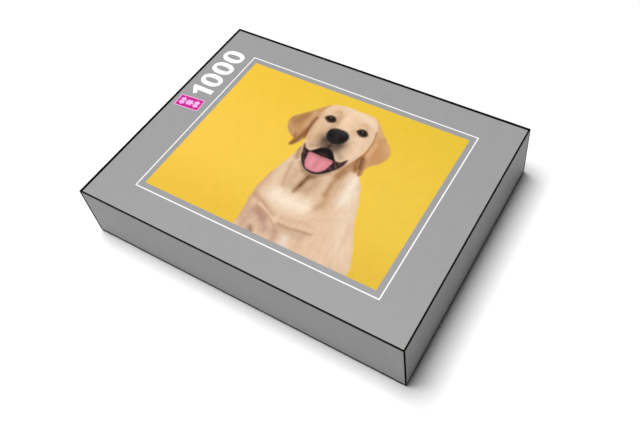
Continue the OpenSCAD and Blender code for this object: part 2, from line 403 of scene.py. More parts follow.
def paint_body(p):
    body = p.paint((228, 195, 163), BODY, soft=0.06, ragged=0.02)
    p.airbrush(BREAST_STROKES, body)
    p.paint((142, 94, 52), [(8.02, 3.0), (8.06, 3.6), (8.2, 3.95)], width=0.3, soft=0.16, opacity=0.95)
    p.airbrush(NECK_STROKES + BELLY_STROKES, body)
    return body


def paint_ears(p):
    left = p.paint((196, 148, 100), EAR_LEFT, soft=0.06, ragged=0.008)
    p.airbrush(LEFT_EAR_STROKES, left)
    right = p.paint((208, 156, 106), EAR_RIGHT, soft=0.06, ragged=0.008)
    p.airbrush(RIGHT_EAR_STROKES, right)
    return np.maximum(left, right)


def paint_head(p):
    head = p.paint((232, 198, 164), HEAD, soft=0.06, ragged=0.015)
    p.airbrush(FOREHEAD_STROKES, head)
    p.airbrush(EAR_EDGE_STROKES)
    p.airbrush(MUZZLE_STROKES, head)
    return head


def paint_eye(p, x, y, tilt):
    """One eye, with its centre at x, y. Tilt lowers its right corner."""
    turned = [(x + dx, y + dy + tilt * dx) for dx, dy in ALMOND]
    p.paint((150, 110, 76), turned, soft=0.16, opacity=0.7)
    p.paint((40, 28, 20), turned, soft=0.07)
    p.paint((112, 84, 60), [(x - 0.1, y + 0.11), (x + 0.08, y + 0.12)], width=0.03, soft=0.05, opacity=0.5)
    p.paint((14, 10, 8), [(x - 0.03, y - 0.03), (x + 0.02, y - 0.02)], width=0.2, soft=0.06)
    p.paint((180, 176, 168), [(x - 0.04, y - 0.07), (x + 0.0, y - 0.06)], width=0.05, soft=0.04, opacity=0.8)


def paint_nose(p):
    p.paint((110, 88, 72), NOSE, soft=0.14, opacity=0.7)
    nose = p.paint((26, 23, 22), NOSE, soft=0.07)
    shine = [(6.14, 2.3), (6.4, 2.26), (6.7, 2.31)]
    p.paint((78, 82, 86), shine, width=0.04, soft=0.12, opacity=0.75, within=nose)
    p.paint((62, 62, 62), [(6.38, 2.45), (6.42, 2.65)], width=0.1, soft=0.12, opacity=0.6, within=nose)
    for side in (-1, 1):
        x = 6.42 + side * 0.3
        p.paint((6, 4, 4), [(x - side * 0.08, 2.68), (x, 2.6), (x + side * 0.1, 2.66)], width=0.12, soft=0.07)
    p.paint((16, 11, 10), [(6.41, 2.8), (6.4, 3.1), (6.4, 3.42)], width=0.02, soft=0.08, opacity=0.8)


def paint_mouth(p):
    chin = [(5.7, 4.7), (6.05, 5.03), (6.42, 5.12), (6.9, 5.0), (7.25, 4.66)]
    p.paint((146, 110, 84), chin, width=0.06, soft=0.13, opacity=0.8)
    mouth = p.paint((52, 30, 28), MOUTH, soft=0.07)
    throat = [(5.95, 3.88), (6.18, 3.64), (6.4, 3.58), (6.66, 3.62), (6.9, 3.88)]
    p.paint((12, 3, 3), throat, width=0.3, soft=0.1, within=mouth)
    for x, y in GUM_SPOTS:
        spot = [(x - 0.03, y - 0.03), (x + 0.03, y + 0.03)]
        p.paint((142, 108, 112), spot, width=0.05, soft=0.07, opacity=0.75, within=mouth)
    for side in (LEFT_CHEEK, RIGHT_CHEEK):
        p.paint((26, 14, 12), side, width=0.06, soft=0.08, opacity=0.8, within=mouth)
    p.paint((18, 10, 9), LOWER_LIP, width=0.05, soft=0.08)
    tongue = p.paint((221, 136, 146), TONGUE, soft=0.06)
    p.airbrush(TONGUE_STROKES, tongue)


def paint_puppy():
    p = Painting(PICTURE_SIZE, CELLS, PAINTING_SEED)
    p.comb(COAT, length=5)
    paint_background(p)
    coat = paint_body(p)
    coat = np.maximum(coat, paint_ears(p))
    coat = np.maximum(coat, paint_head(p))
    p.rgb *= 1 + ((0.01 * p.streaks + 0.012 * p.curls()) * coat)[..., None]
    paint_eye(p, 5.57, 1.71, 0.04)
    paint_eye(p, 7.38, 1.84, 0.1)
    paint_nose(p)
    paint_mouth(p)
    return np.clip(p.rgb, 0, 255)


class Material:
    """A Principled material. Nodes are added one by one, and a socket given as a value is linked."""

    def __init__(self, name, **constants):
        self.data = bpy.data.materials.new(name)
        self.data.use_nodes = True
        self.tree = self.data.node_tree
        self.shader = self.tree.nodes["Principled BSDF"]
        for socket, value in constants.items():
            self.shader.inputs[socket.replace("_", " ")].default_value = value
        self.place = self.node("ShaderNodeTexCoord").outputs["Object"]

    def put(self, socket, value):
        if isinstance(value, bpy.types.NodeSocket):
            self.tree.links.new(value, socket)
        elif value is not None:
            socket.default_value = value

    def node(self, kind, *inputs, **settings):
        made = self.tree.nodes.new(kind)
        for key, value in settings.items():
            setattr(made, key, value)
        for socket, value in zip(made.inputs, inputs):
            self.put(socket, value)
        return made

    def math(self, operation, *values):
        return self.node("ShaderNodeMath", *values, operation=operation).outputs[0]

    def noise(self, size, detail=3.0, stretch=(1, 1, 1)):
        """Noise about 0.5 whose largest features are about that many millimetres."""
        place = self.node("ShaderNodeVectorMath", self.place, stretch, operation="MULTIPLY").outputs[0]
        return self.node("ShaderNodeTexNoise", place, None, 1 / (size * MM), detail).outputs["Fac"]

    def span(self, value, low, high, out_low=0.0, out_high=1.0):
        return self.node("ShaderNodeMapRange", value, low, high, out_low, out_high).outputs[0]

    def mix(self, share, first, second):
        made = self.node("ShaderNodeMix", share, data_type="RGBA")
        self.put(made.inputs[6], first)
        self.put(made.inputs[7], second)
        return made.outputs[2]

    def shade(self, colour, *factors):
        """The colour made lighter or darker by each factor about 1."""
        for factor in factors:
            made = self.node("ShaderNodeMix", 1.0, data_type="RGBA", blend_type="MULTIPLY")
            self.put(made.inputs[6], colour)
            self.put(made.inputs[7], self.node("ShaderNodeCombineColor", factor, factor, factor).outputs[0])
            colour = made.outputs[2]
        return colour

    def bumps(self, *layers):
        """Each layer is (height from 0 to 1, depth in millimetres)."""
        normal = None
        for height, depth in layers:
            made = self.node("ShaderNodeBump")
            made.inputs["Distance"].default_value = depth * MM
            self.put(made.inputs["Height"], height)
            self.put(made.inputs["Normal"], normal)
            normal = made.outputs[0]
        self.put(self.shader.inputs["Normal"], normal)

    def finish(self, colour, roughness):
        self.put(self.shader.inputs["Base Color"], colour)
        self.put(self.shader.inputs["Roughness"], roughness)
        return self.data


def paper_surface(m, colour, rough, relief=(), scuffs=0.0):
    """The fibres, faint mottling and slight waves that all of the box's paper has. rough is (low, high)."""
    fibres = m.noise(0.5, 4, (1, 2.2, 1.4))
    mottle = m.noise(9, 2)
    waves = m.noise(45, 1)
    m.bumps((fibres, 0.02), (mottle, 0.05), (waves, 0.35), *relief)
    colour = m.shade(colour, m.span(fibres, 0.3, 0.7, 0.975, 1.025), m.span(mottle, 0.3, 0.7, 0.985, 1.015))
    return m.finish(colour, m.math("ADD", m.span(fibres, 0.25, 0.75, *rough), scuffs))


def ink_material(name, ink, rough=(0.38, 0.52)):
    return paper_surface(Material(name, Specular_IOR_Level=PAPER_GLOSS), rgba(ink), rough)


def picture_material(name, rough=(0.38, 0.52)):
    m = Material(name, Specular_IOR_Level=PICTURE_GLOSS)
    printed = m.node("ShaderNodeVertexColor", layer_name="print").outputs["Color"]
    return paper_surface(m, printed, rough)


def edge_distances(m, width, depth, low, high, shift=0.0):
    """How far a point is from the nearest of the print's edges along X, Y and Z, in metres.

    The print lies that shift off to the right and the front of the paper. Distances along Z are scaled, so
    that the lines at the rim and below the top get their own widths.
    """
    axes = m.node("ShaderNodeSeparateXYZ", m.place).outputs
    x = m.math("SUBTRACT", width / 2 * MM, m.math("ABSOLUTE", m.math("SUBTRACT", axes[0], shift * MM)))
    y = m.math("SUBTRACT", depth / 2 * MM, m.math("ABSOLUTE", m.math("ADD", axes[1], shift * MM)))
    above_rim = m.math("MULTIPLY", m.math("SUBTRACT", axes[2], low * MM), FOLD_LINE_W / RIM_LINE_W)
    below_top = m.math("MULTIPLY", m.math("SUBTRACT", high * MM, axes[2]), FOLD_LINE_W / SIDE_LINE_W)
    return x, y, m.math("MINIMUM", above_rim, below_top)


def fold_distance(m, width, depth, low, high, shift=0.0):
    """Distance to the nearest fold: the middle one of the three distances, in metres."""
    x, y, z = edge_distances(m, width, depth, low, high, shift)
    nearer = m.math("MINIMUM", x, y)
    farther = m.math("MAXIMUM", x, y)
    return m.math("MAXIMUM", nearer, m.math("MINIMUM", farther, z))


def keylines(m, width, depth, low, high):
    """1 on the dark lines printed along the folds and the rim, and 0 between them."""
    away = fold_distance(m, width, depth, low, high, PRINT_SHIFT)
    height = m.node("ShaderNodeSeparateXYZ", m.place).outputs[2]
    on_top = m.span(height, (high - 0.4) * MM, (high - 0.2) * MM)
    line_w = m.span(on_top, 0, 1, FOLD_LINE_W * MM, TOP_LINE_W * MM)
    return m.span(m.math("SUBTRACT", away, line_w), -0.06 * MM, 0.06 * MM, 1.0, 0.0)


def wrap_material(name, ink, width, depth, low, high, printed):
    """Wrapping paper with worn folds and corner seams. Printed paper has dark keylines, and its short ends
    are printed a darker grey as painted shade.
    """
    m = Material(name, Specular_IOR_Level=PAPER_GLOSS)
    x, y, _ = edge_distances(m, width, depth, low, high)
    colour = rgba(ink)
    if printed:
        lines = keylines(m, width, depth, low, high)
        # Painted shade: the short end walls take the darker grey.
        colour = m.mix(m.span(x, 0.3 * MM, 0.4 * MM, 1.0, 0.0), colour, rgba(END_SHADE_INK))
        colour = m.mix(lines, colour, rgba(DARK_INK))
        m.put(m.shader.inputs["Specular IOR Level"], m.span(lines, 0, 1, PAPER_GLOSS, 0.0))
    fold = m.span(fold_distance(m, width, depth, low, high), 0.0, 0.3 * MM, 1.0, 0.0)
    worn = m.math("MULTIPLY", fold, m.span(m.noise(2.5, 4), 0.6, 0.7))
    colour = m.mix(m.math("MULTIPLY", worn, 0.3), colour, rgba(WHITE_INK))
    seam = m.math("MULTIPLY", m.span(y, 1.1 * MM, 1.3 * MM), m.span(x, 0.2 * MM, 0.4 * MM, 1.0, 0.0))
    scuffs = m.math("MULTIPLY", m.span(m.noise(14, 6, (1, 7, 1)), 0.62, 0.75), 0.12)
    return paper_surface(m, colour, (0.38, 0.5), [(seam, 0.12)], scuffs)


def board_material(name, colour, fleck=0.5):
    """Uncoated board or paper of recycled fibre, with pale and dark flecks."""
    m = Material(name)
    felt = m.noise(1.6, 5)
    flecks = m.span(m.noise(0.7, 2, (1, 3, 1)), 0.66, 0.74)
    specks = m.span(m.noise(0.9, 2, (3, 1, 1)), 0.68, 0.76)
    base = m.shade(rgba(colour), m.span(felt, 0.3, 0.7, 0.9, 1.1))
    base = m.mix(m.math("MULTIPLY", flecks, fleck), base, rgba(WHITE_INK))
    base = m.mix(m.math("MULTIPLY", specks, fleck), base, rgba(SPECK))
    m.bumps((felt, 0.06), (m.noise(30, 1), 0.2))
    return m.finish(base, m.span(felt, 0.3, 0.7, 0.82, 0.94))


def film_material():
    """Thin clear film with fine creases."""
    m = Material("clear_film", Alpha=0.16, IOR=1.5, Specular_IOR_Level=0.9)
    creases = m.noise(5, 4, (1, 0.5, 1))
    m.bumps((creases, 0.5), (m.noise(1.5, 2), 0.08))
    tint = m.shade(rgba(FILM), m.span(creases, 0.3, 0.7, 0.96, 1.04))
    return m.finish(tint, m.span(creases, 0.3, 0.7, 0.1, 0.2))


def mesh_object(name, points, faces, materials=(), slots=None):
    """A mesh object from points in millimetres. slots gives each face's material."""
    mesh = bpy.data.meshes.new(name)
    mesh.from_pydata([tuple(p) for p in np.asarray(points, float) * MM], [], faces)
    for m in materials:
        mesh.materials.append(m)
    if slots is not None:
        mesh.polygons.foreach_set("material_index", slots)
    mesh.update()
    made = bpy.data.objects.new(name, mesh)
    bpy.context.scene.collection.objects.link(made)
    return made


def grid_quads(index):
    """The quads between neighbouring points of a grid, from the grid of their indices."""
    corners = np.stack([index[:-1, :-1], index[1:, :-1], index[1:, 1:], index[:-1, 1:]], -1)
    return [tuple(q) for q in corners.reshape(-1, 4).tolist()]


def face_outwards(made):
    bm = bmesh.new()
    bm.from_mesh(made.data)
    bmesh.ops.recalc_face_normals(bm, faces=bm.faces)
    bm.to_mesh(made.data)
    bm.free()


def shade_smooth(made, angle=35):
    made.data.polygons.foreach_set("use_smooth", [True] * len(made.data.polygons))
    made.data.set_sharp_from_angle(angle=np.radians(angle))


def arc(centre, radius, start, end, steps=4):
    """Points on an arc, from and to angles in degrees."""
    turns = np.radians(np.linspace(start, end, steps + 1))
    return [(centre[0] + radius * np.cos(a), centre[1] + radius * np.sin(a)) for a in turns]


def rounded_rectangle(width, depth, radius, steps=4, guard=0):
    """Guard adds a point that far along each straight beside a corner, so that the side shades flat."""
    loop = []
    for quarter, (side_x, side_y) in enumerate(((1, 1), (-1, 1), (-1, -1), (1, -1))):
        centre = (side_x * (width / 2 - radius), side_y * (depth / 2 - radius))
        bend = arc(centre, radius, 90 * quarter, 90 * quarter + 90, steps)
        if guard:
            c, s = np.cos(np.pi / 2 * quarter), np.sin(np.pi / 2 * quarter)
            before = (bend[0][0] + guard * s, bend[0][1] - guard * c)
            after = (bend[-1][0] - guard * c, bend[-1][1] - guard * s)
            bend = [before, *bend, after]
        loop += bend
    return loop


def wrap_section(height):
    """The paper's section as (inset from the outer face, depth from the closed face), round to its start."""
    rim = height - RIM_R
    turned = height - TURN_IN
    inner = WALL_T - PAPER_T
    angles = np.radians([0, 22.5, 45, 67.5, 90])
    fold = [(FOLD_R - FOLD_R * np.sin(a), FOLD_R - FOLD_R * np.cos(a)) for a in angles]
    outside = [(FOLD_R + GUARD, 0), *fold, (0, FOLD_R + GUARD), (0, rim - GUARD)]
    over_rim = [
        (0, rim), (RIM_CUT, height - RIM_CUT), (RIM_R, height),
        (WALL_T - RIM_R, height), (WALL_T - RIM_CUT, height - RIM_CUT), (WALL_T, rim),
    ]
    inside = [
        (WALL_T, turned), (inner, turned), (inner, height - PAPER_T),
        (PAPER_T, height - PAPER_T), (PAPER_T, PAPER_T),
    ]
    return outside + over_rim + inside


def paper_wrap(name, width, depth, height, to_z, material):
    """Paper folded round a tray: its section swept round a rounded rectangle, from the closed face on."""
    points, faces = [], []
    section = wrap_section(height)
    for inset, down in section:
        radius = max(FOLD_R - inset, 0.05)
        ring = rounded_rectangle(width - 2 * inset, depth - 2 * inset, radius, guard=GUARD)
        points += [(x, y, to_z(down)) for x, y in ring]
    n = len(ring)
    for k in range(len(section) - 1):
        for i in range(n):
            j = (i + 1) % n
            faces.append((k * n + i, k * n + j, (k + 1) * n + j, (k + 1) * n + i))
    faces.append(tuple(range(n)))
    faces.append(tuple(range(len(points) - n, len(points))))
    made = mesh_object(name, points, faces, [material])
    face_outwards(made)
    shade_smooth(made)
    return made


def set_print(mesh, colours):
    """Stores the printed colour of each of the mesh's points, from sRGB 0 to 255."""
    layer = mesh.color_attributes.new("print", "FLOAT_COLOR", "POINT")
    values = np.ones((len(mesh.vertices), 4))
    values[:, :3] = linear(colours) * PRINT_DEPTH
    layer.data.foreach_set("color", values.ravel())


def printed_panel(name, rgb, width, depth, centre, top, thickness, material):
    """A thin printed rectangle whose upper face carries a painting, one point to a cell."""
    rows, columns = rgb.shape[:2]
    x = centre[0] + np.linspace(-width / 2, width / 2, columns)
    y = centre[1] + np.linspace(depth / 2, -depth / 2, rows)
    grid = np.stack([*np.meshgrid(x, y), np.full((rows, columns), top)], -1).reshape(-1, 3)
    index = np.arange(rows * columns).reshape(rows, columns)
    rim = [*index[0], *index[1:, -1], *index[-1, -2::-1], *index[-2:0:-1, 0]]
    n = len(rim)
    first = len(grid)
    faces = grid_quads(index.T)
    faces += [(rim[i], rim[(i + 1) % n], first + (i + 1) % n, first + i) for i in range(n)]
    faces.append(tuple(range(first, first + n)))
    points = np.vstack([grid, grid[rim] - [0, 0, thickness]])
    made = mesh_object(name, points, faces, [material])
    colours = rgb.reshape(-1, 3)
    set_print(made.data, np.vstack([colours, colours[rim]]))
    face_outwards(made)
    return made


class Ink:
    """Flat printed shapes of one thickness, gathered into one mesh."""

    def __init__(self, top):
        self.top = top
        self.points, self.faces, self.slots = [], [], []

    def raise_loops(self, *loops):
        """Adds each loop of points at the ink's top and at its underside, and returns their first indices."""
        firsts = []
        for loop in loops:
            for z in (self.top, self.top - INK_T):
                firsts.append(len(self.points))
                self.points += [(x, y, z) for x, y in loop]
        return firsts

    def join(self, first, second, count, slot):
        for i in range(count):
            j = (i + 1) % count
            self.faces.append((first + i, first + j, second + j, second + i))
            self.slots.append(slot)

    def plate(self, loop, slot):
        top, under = self.raise_loops(loop)
        n = len(loop)
        self.join(under, top, n, slot)
        self.faces += [tuple(range(top, top + n)), tuple(range(under + n - 1, under - 1, -1))]
        self.slots += [slot, slot]

    def band(self, outer, inner, slot):
        outer_top, outer_under, inner_top, inner_under = self.raise_loops(outer, inner)
        n = len(outer)
        self.join(outer_top, inner_top, n, slot)
        self.join(inner_under, outer_under, n, slot)
        self.join(outer_under, outer_top, n, slot)
        self.join(inner_top, inner_under, n, slot)


def placed(loop, at, turn=0.0):
    """The loop turned by that many degrees and moved."""
    c, s = np.cos(np.radians(turn)), np.sin(np.radians(turn))
    return [(at[0] + c * x - s * y, at[1] + s * x + c * y) for x, y in loop]


def oval(width, height, power, steps=48):
    """An oval that is squarer than an ellipse."""
    turns = np.linspace(0, 2 * np.pi, steps, endpoint=False)
    c, s = np.cos(turns), np.sin(turns)
    x = width / 2 * np.sign(c) * np.abs(c) ** (2 / power)
    y = height / 2 * np.sign(s) * np.abs(s) ** (2 / power)
    return list(zip(x, y))


# The numerals: the outline of the one, and the zero's width, squareness and strokes
ONE_W = 11.4
ONE_GAP = 1.6 * NUMERAL_GAP
ZERO_W = 16.0
ZERO_POWER = 2.3
ZERO_STROKES = (10.3, 8.2)
ONE = [(6.1, 0), (ONE_W, 0), (ONE_W, NUMERAL_H), (8.8, NUMERAL_H), (0, 17.3), (2.6, 14.0), (6.1, 16.4)]


def print_numerals(ink, slot):
    """The piece count, reading from the front of the lid to its back along its left side."""
    def stand(loop, along):
        return placed([(x + along, y) for x, y in loop], (NUMERAL_BASELINE, NUMERAL_START), 90)

    ink.plate(stand(ONE, 0), slot)
    for k in range(3):
        along = ONE_W + ONE_GAP + ZERO_W / 2 + k * (ZERO_W + NUMERAL_GAP)
        outer = oval(ZERO_W, NUMERAL_H, ZERO_POWER)
        inner = oval(ZERO_W - ZERO_STROKES[0], NUMERAL_H - ZERO_STROKES[1], ZERO_POWER)
        loops = ([(x, y + NUMERAL_H / 2) for x, y in loop] for loop in (outer, inner))
        ink.band(*(stand(loop, along) for loop in loops), slot)


def print_label(ink, pink, pale):
    """A plain label beside the numerals, with a pale border and a row of jigsaw pieces on it."""
    def at(loop):
        return placed(loop, LABEL_AT, LABEL_TURN)

    border = 2 * LABEL_BORDER
    outer = at(rounded_rectangle(LABEL_W, LABEL_D, LABEL_R))
    ink.plate(outer, pink)
    ink.top += INK_T
    inner = at(rounded_rectangle(LABEL_W - border, LABEL_D - border, LABEL_INNER_R))
    ink.band(outer, inner, pale)
    outlines = cut_puzzle(np.random.default_rng(LABEL_SEED))
    for column in (-1, 0, 1):
        middle = (column * LABEL_PITCH, 0)
        ink.plate(at((outlines[column + 4, 5] + middle) * LABEL_ICON), pale)
    ink.top -= INK_T


# How far the cuts stray: a corner in millimetres, and a knob in shares of its edge and of its size
CORNER_STRAY = 0.45
KNOB_STRAY = 0.05
KNOB_SIZES = (0.9, 1.08)

# One side of a knob, as (share of the edge's length, share of it outwards). The other side mirrors it.
HALF_KNOB = [(0, 0), (0.2, 0.015), (0.4, 0.0), (0.415, 0.06), (0.372, 0.13), (0.39, 0.21), (0.5, 0.25)]


def cut_edge(start, end, outwards, rng):
    """The cut from start to end with one knob on the side that outwards, 1 or -1, says."""
    knob = np.array(HALF_KNOB + [(1 - t, h) for t, h in HALF_KNOB[-2::-1]], float)
    shift = rng.uniform(-KNOB_STRAY, KNOB_STRAY)
    grow = rng.uniform(*KNOB_SIZES)
    inner = slice(2, -2)
    knob[inner] = (knob[inner] - [0.5, 0]) * grow + [0.5 + shift, 0]
    line = curve(knob, closed=False, steps=2)
    along = np.subtract(end, start)
    across = np.array([-along[1], along[0]]) * outwards
    return np.array(start) + line[:, :1] * along + line[:, 1:] * across


def cut_puzzle(rng):
    """The outline of every piece by (column, row), anticlockwise about its own middle."""
    pitch = np.array([PUZZLE_W / COLUMNS, PUZZLE_D / ROWS])
    inside = np.ones((COLUMNS + 1, ROWS + 1, 2))
    inside[[0, -1], :, 0] = 0
    inside[:, [0, -1], 1] = 0
    corner = np.stack(np.meshgrid(np.arange(COLUMNS + 1), np.arange(ROWS + 1), indexing="ij"), -1) * pitch
    corner = corner + rng.uniform(-CORNER_STRAY, CORNER_STRAY, corner.shape) * inside

    def edge(a, b, vertical, outwards):
        border = a[0] == b[0] in (0, COLUMNS) if vertical else a[1] == b[1] in (0, ROWS)
        if border:
            return np.array([corner[a], corner[b]])
        return cut_edge(corner[a], corner[b], outwards, rng)

    upright = {(c, r): edge((c, r), (c, r + 1), True, 1 if (c + r) % 2 else -1)
               for c in range(COLUMNS + 1) for r in range(ROWS)}
    level = {(c, r): edge((c, r), (c + 1, r), False, 1 if (c + r) % 2 else -1)
             for c in range(COLUMNS) for r in range(ROWS + 1)}
    outlines = {}
    for c in range(COLUMNS):
        for r in range(ROWS):
            sides = [level[c, r], upright[c + 1, r], level[c, r + 1][::-1], upright[c, r][::-1]]
            outlines[c, r] = np.vstack([side[:-1] for side in sides]) - (np.array([c, r]) + 0.5) * pitch
    return outlines


def inset_loop(loop, distance):
    """The anticlockwise loop of points moved inwards by a short distance."""
    ahead, behind = np.roll(loop, -1, 0), np.roll(loop, 1, 0)
    along = ahead - behind
    inward = np.stack([-along[:, 1], along[:, 0]], 1)
    return loop + distance * inward / np.linalg.norm(inward, axis=1, keepdims=True)


# A piece's printed face: its grid of colour points, how far they reach, and the crushed edge of the cut
FACE_GRID = 2.9
FACE_STEPS = 4
FACE_REACH = (6.6, 8.1)
FACE_BEVEL = 0.2


def piece_mesh(outline):
    """Points and faces of one piece, face up about its middle, and how many of its faces are printed."""
    rim = inset_loop(outline, FACE_BEVEL)
    n = len(rim)
    steps = np.arange(-FACE_STEPS, FACE_STEPS + 1) * FACE_GRID
    dots = np.stack(np.meshgrid(steps, steps), -1).reshape(-1, 2)
    middle = [Vector(p) for p in dots if (np.abs(p) < FACE_REACH).all()]
    cut = delaunay_2d_cdt([Vector(p) for p in rim] + middle, [], [list(range(n))], 1, 1e-5)
    face_points = np.array([tuple(p) for p in cut[0]])
    top = np.column_stack([face_points, np.full(len(face_points), PIECE_T / 2)])
    shoulder = np.column_stack([outline, np.full(n, PIECE_T / 2 - FACE_BEVEL)])
    back = np.column_stack([outline, np.full(n, -PIECE_T / 2)])
    a, b = len(top), len(top) + n
    ring = [(i, (i + 1) % n) for i in range(n)]
    faces = [tuple(f) for f in cut[2]] + [(i, a + i, a + j, j) for i, j in ring]
    printed_faces = len(faces)
    faces += [(a + i, b + i, b + j, a + j) for i, j in ring]
    faces.append(tuple(range(b + n - 1, b - 1, -1)))
    return np.vstack([top, shoulder, back]), faces, printed_faces


# A sachet lies flat: its pieces pile up from its underside, and its film hugs them and closes at mid height
SACHET_W, SACHET_L, SACHET_H = 57, 110, 10.2
PIECES = BLOCK * BLOCK
PILE_SEEDS = (0, 1, 2, 3)
PILE_X, PILE_Y = 27, 46
PILE_SPREAD = (15, 34)
PILE_TILT = 0.02
PILE_TRIES = 250
PIECE_REACH = 16
FACE_UP_SHARE = 0.55

# A piece from above: half its body, then its blanks and its knobs as (distance from its middle, radius)
ODD_PIECE = (8.1, 9.7), (7.1, 1.8), (10.9, 2.7)
EVEN_PIECE = (9.7, 8.1), (5.1, 2.2), (12.1, 2.3)

# The film of a sachet: its grid, the sealed ends with their pinked edge, and the pleats beside them
FILM_ACROSS, FILM_ALONG = 26, 50
FILM_GAP = 0.12
FILM_STAND_OFF = 2
SEAL_W = 7
TOOTH = 0.9
PLEATS = (0.45, 0.8, 1.25)
PLEAT_H = 0.5
PLEAT_FADE = 9

# How the sachets lie askew, in degrees
ASKEW_TURN, ASKEW_STRIDE = 0.7, 211


def covers(x, y, odd):
    """True where a piece lies. Odd pieces have their knobs along X, even ones along Y."""
    half, blank, knob = ODD_PIECE if odd else EVEN_PIECE
    if not odd:
        x, y = y, x
    body = (np.abs(x) < half[0]) & (np.abs(y) < half[1])
    blanks = np.hypot(x, np.abs(y) - blank[0]) <= blank[1]
    knobs = np.hypot(np.abs(x) - knob[0], y) < knob[1]
    return body & ~blanks | knobs


def pile_pieces(seed, parity):
    """Drops pieces into a sachet, each where it ends lowest. Returns their places and the pile's heights."""
    rng = np.random.default_rng(seed)
    lines_x, lines_y = np.arange(-PILE_X, PILE_X + 1), np.arange(-PILE_Y, PILE_Y + 1)
    grid_x, grid_y = np.meshgrid(lines_x, lines_y, indexing="ij")
    height = np.zeros(grid_x.shape)
    places = []
    for k in range(PIECES):
        best = None
        odd = (k % BLOCK + k // BLOCK + parity) % 2
        for _ in range(PILE_TRIES):
            cx, cy = rng.uniform(-1, 1, 2) * PILE_SPREAD
            turn = rng.uniform(0, 2 * np.pi)
            slope = rng.uniform(-PILE_TILT, PILE_TILT, 2)
            column, row = int(cx) + PILE_X, int(cy) + PILE_Y
            window = (slice(max(column - PIECE_REACH, 0), column + PIECE_REACH),
                      slice(max(row - PIECE_REACH, 0), row + PIECE_REACH))
            dx, dy = grid_x[window] - cx, grid_y[window] - cy
            c, s = np.cos(turn), np.sin(turn)
            under = covers(c * dx + s * dy, c * dy - s * dx, odd)
            plane = slope[0] * dx + slope[1] * dy
            rest = (height[window] - plane)[under].max()
            surface = (rest + plane + PIECE_T)[under]
            if best is None or surface.max() < best[0]:
                best = (surface.max(), window, under, surface, (cx, cy, rest, turn, slope))
        _, window, under, surface, place = best
        height[window][under] = surface
        places.append((*place, rng.random() < FACE_UP_SHARE))
    return places, height


def piece_matrix(place):
    """How a piece about its own middle comes to lie at a place in the sachet."""
    cx, cy, rest, turn, slope, face_up = place
    normal = Vector((-slope[0], -slope[1], 1)).normalized()
    tilt = Vector((0, 0, 1)).rotation_difference(normal).to_matrix().to_4x4()
    flip = Matrix.Identity(4) if face_up else Matrix.Rotation(np.pi, 4, "X")
    middle = rest + PIECE_T / 2 - SACHET_H / 2 + FILM_GAP
    return np.array(Matrix.Translation((cx, cy, middle)) @ tilt @ Matrix.Rotation(turn, 4, "Z") @ flip)


def relax(film, obstacle, fixed, rounds=60):
    """Draws a stretched film tight over what lies under it."""
    for _ in range(rounds):
        mean = film.copy()
        mean[1:-1, 1:-1] = (film[:-2, 1:-1] + film[2:, 1:-1] + film[1:-1, :-2] + film[1:-1, 2:]) / 4
        film = np.where(fixed, film, np.maximum(mean, obstacle))
    return film


def pile_height(height, x, y):
    """The pile's height at points in the sachet, and 0 beyond its map."""
    column = np.rint(x + PILE_X).astype(int)
    row = np.rint(y + PILE_Y).astype(int)
    last_column, last_row = height.shape[0] - 1, height.shape[1] - 1
    within = (column >= 0) & (column <= last_column) & (row >= 0) & (row <= last_row)
    return np.where(within, height[np.clip(column, 0, last_column), np.clip(row, 0, last_row)], 0)


def film_heights(height, rng):
    """Upper and lower film over a pile, about the sachet's mid height."""
    x, y = np.meshgrid(np.linspace(-SACHET_W / 2, SACHET_W / 2, FILM_ACROSS + 1),
                       np.linspace(-SACHET_L / 2, SACHET_L / 2, FILM_ALONG + 1), indexing="ij")
    around = (-FILM_STAND_OFF, 0, FILM_STAND_OFF)
    near = np.max([pile_height(height, x + dx, y + dy) for dx in around for dy in around], 0)
    loaded = near > 0
    over = np.where(loaded, near - SACHET_H / 2 + 3 * FILM_GAP, -1)
    over = np.minimum(over, SACHET_H / 2)
    under = np.where(loaded, SACHET_H / 2, -1)
    sealed = (np.abs(y) > SACHET_L / 2 - SEAL_W) | (np.abs(x) > SACHET_W / 2 - 0.1)
    upper = relax(np.where(sealed, FILM_GAP, over), over, sealed)
    lower = relax(np.where(sealed, FILM_GAP, under), under, sealed)
    from_seal = SACHET_L / 2 - SEAL_W - np.abs(y)
    fade = np.exp(-np.maximum(from_seal, 0) / PLEAT_FADE) * (from_seal > -1)
    phase = rng.uniform(0, 2 * np.pi, len(PLEATS))
    pleats = sum(np.sin(x * k + p) for k, p in zip(PLEATS, phase)) / len(PLEATS)
    upper = upper + PLEAT_H * fade * np.maximum(pleats, 0) * ~sealed
    return x, y, np.minimum(upper, SACHET_H / 2), -np.minimum(lower, SACHET_H / 2)


def film_mesh(x, y, upper, lower):
    """A closed bag of film: two sheets on one grid that share their edge, with pinked ends."""
    ends = np.zeros(x.shape)
    ends[:, 0], ends[:, -1] = 1, -1
    teeth = ends * TOOTH * (np.arange(x.shape[0]) % 2)[:, None]
    inner = np.zeros(x.shape, bool)
    inner[1:-1, 1:-1] = True
    points = np.stack([x, y + teeth, np.where(inner, upper, 0)], -1).reshape(-1, 3)
    below = np.full(x.shape, -1)
    below[inner] = len(points) + np.arange(inner.sum())
    top = np.arange(x.size).reshape(x.shape)
    bottom = np.where(inner, below, top)
    points = np.vstack([points, np.stack([x, y, lower], -1)[inner]])
    return points, grid_quads(top) + [q[::-1] for q in grid_quads(bottom)]


